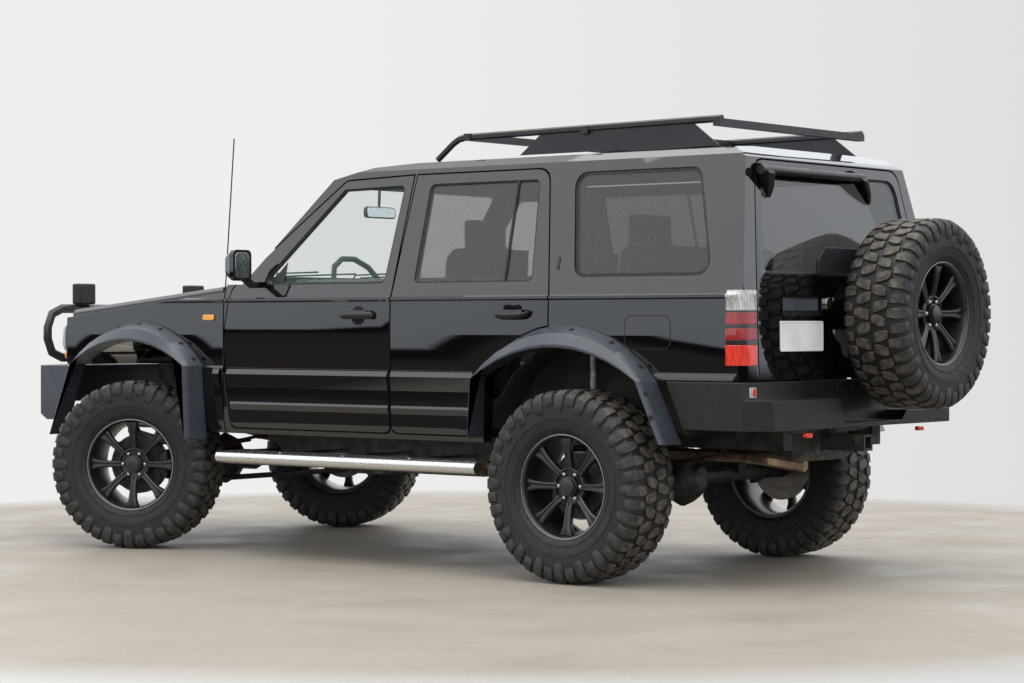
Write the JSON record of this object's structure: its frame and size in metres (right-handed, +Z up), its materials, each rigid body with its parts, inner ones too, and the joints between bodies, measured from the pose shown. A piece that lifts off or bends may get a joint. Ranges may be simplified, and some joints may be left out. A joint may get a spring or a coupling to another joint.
{
  "type": "lifted off-road 4x4",
  "caption": "Lifted five-door off-road 4x4 with wide arch flares, steel bumpers, roof rack, side steps and a tailgate-mounted spare wheel.",
  "frame": {"origin": "on the ground, on the centre line, halfway along the overall length", "axes": "+Z up, the vehicle faces -Y, its left side is +X"},
  "size_m": [2.3688, 5.195, 2.1503],
  "materials": {
    "paint": "gloss",
    "powder_coat": "satin",
    "chassis_black": "satin",
    "flare_plastic": "satin",
    "black_plastic": "satin",
    "trim_plastic": "matt grained",
    "underseal": "matt",
    "clear_glass": "clear",
    "tinted_glass": "tinted",
    "lamp_glass": "clear",
    "lamp_red": "gloss",
    "tyre_rubber": "matt",
    "rim_black": "satin black",
    "bright_steel": "brushed",
    "spring_steel": "matt",
    "exhaust_steel": "heat tinted",
    "cast_alloy": "cast",
    "shock_paint": "gloss",
    "seat_cloth": "woven"
  },
  "bodies": {
    "root": {"aerial": "black_plastic", "arch_flares": "flare_plastic", "axles": "chassis_black", "body_shell": "paint", "bull_bar": "powder_coat", "chassis_frame": "chassis_black", "dashboard": "trim_plastic", "exhaust": "exhaust_steel", "fixed_glass": "tinted_glass", "floor_pan": "underseal", "front_body": "paint", "front_bumper": "powder_coat", "front_grille": "black_plastic", "front_lamps": "lamp_glass", "fuel_tank": "chassis_black", "leaf_springs": "spring_steel", "powertrain": "cast_alloy", "propshafts": "chassis_black", "rear_bumper": "powder_coat", "roof_rack": "powder_coat", "seats": "seat_cloth", "shock_absorbers": "shock_paint", "side_steps": "bright_steel", "tail_lamps": "lamp_red"},
    "knuckle_left": {"knuckle_left": "chassis_black"},
    "knuckle_right": {"knuckle_right": "chassis_black"},
    "tie_rod": {"tie_rod": "spring_steel"},
    "wheel_front_left": {"tyre_front_left": "tyre_rubber", "rim_front_left": "rim_black"},
    "wheel_front_right": {"tyre_front_right": "tyre_rubber", "rim_front_right": "rim_black"},
    "wheel_rear_left": {"tyre_rear_left": "tyre_rubber", "rim_rear_left": "rim_black"},
    "wheel_rear_right": {"tyre_rear_right": "tyre_rubber", "rim_rear_right": "rim_black"},
    "bonnet": {"bonnet": "paint"},
    "door_front_left": {"door_front_left": "paint", "door_glass_front_left": "clear_glass"},
    "door_front_right": {"door_front_right": "paint", "door_glass_front_right": "clear_glass"},
    "door_rear_left": {"door_rear_left": "paint", "door_glass_rear_left": "tinted_glass"},
    "door_rear_right": {"door_rear_right": "paint", "door_glass_rear_right": "tinted_glass"},
    "tailgate": {"tailgate": "paint", "tailgate_glass": "tinted_glass", "spare_carrier": "powder_coat", "tyre_spare": "tyre_rubber", "rim_spare": "rim_black"}
  },
  "joints": [
    {"name": "steering", "type": "hinge", "parent": "root", "child": "knuckle_left", "pos_m": [0.771, -1.6875, 0.4445], "axis": [0, 0, 1], "range_deg": [-59, 7]},
    {"name": "steering_right", "type": "hinge", "parent": "root", "child": "knuckle_right", "pos_m": [-0.771, -1.6875, 0.4445], "axis": [0, 0, 1], "range_deg": [-59, 7]},
    {"name": "tie_rod_pivot", "type": "hinge", "parent": "knuckle_left", "child": "tie_rod", "pos_m": [0.70305, -1.54819, 0.3455], "axis": [0, 0, 1], "range_deg": [-7, 59]},
    {"name": "spin_front_left", "type": "hinge", "parent": "knuckle_left", "child": "wheel_front_left", "pos_m": [0.86088, -1.64366, 0.4445], "axis": [0.8988, 0.4384, 0], "continuous": true},
    {"name": "spin_rear_left", "type": "hinge", "parent": "root", "child": "wheel_rear_left", "pos_m": [0.871, 1.3125, 0.4445], "axis": [1, 0, 0], "continuous": true},
    {"name": "spin_front_right", "type": "hinge", "parent": "knuckle_right", "child": "wheel_front_right", "pos_m": [-0.86088, -1.73134, 0.4445], "axis": [0.8988, 0.4384, 0], "continuous": true},
    {"name": "spin_rear_right", "type": "hinge", "parent": "root", "child": "wheel_rear_right", "pos_m": [-0.871, 1.3125, 0.4445], "axis": [1, 0, 0], "continuous": true},
    {"name": "door_front_left_hinge", "type": "hinge", "parent": "root", "child": "door_front_left", "pos_m": [0.875, -1.0075, 1], "axis": [0, 0, -1], "range_deg": [0, 68]},
    {"name": "door_rear_left_hinge", "type": "hinge", "parent": "root", "child": "door_rear_left", "pos_m": [0.875, 0.1505, 1], "axis": [0, 0, -1], "range_deg": [0, 72]},
    {"name": "door_front_right_hinge", "type": "hinge", "parent": "root", "child": "door_front_right", "pos_m": [-0.875, -1.0075, 1], "axis": [0, 0, 1], "range_deg": [0, 68]},
    {"name": "door_rear_right_hinge", "type": "hinge", "parent": "root", "child": "door_rear_right", "pos_m": [-0.875, 0.1505, 1], "axis": [0, 0, 1], "range_deg": [0, 72]},
    {"name": "tailgate_hinge", "type": "hinge", "parent": "root", "child": "tailgate", "pos_m": [-0.758, 2.2145, 1.2], "axis": [0, 0, 1], "range_deg": [0, 90]},
    {"name": "bonnet_hinge", "type": "hinge", "parent": "root", "child": "bonnet", "pos_m": [0, -1.0055, 1.392], "axis": [-1, 0, 0], "range_deg": [0, 55]}
  ],
  "couplings": [
    {"joint": "steering_right", "follows": "steering", "ratio": 1},
    {"joint": "tie_rod_pivot", "follows": "steering", "ratio": -1}
  ]
}
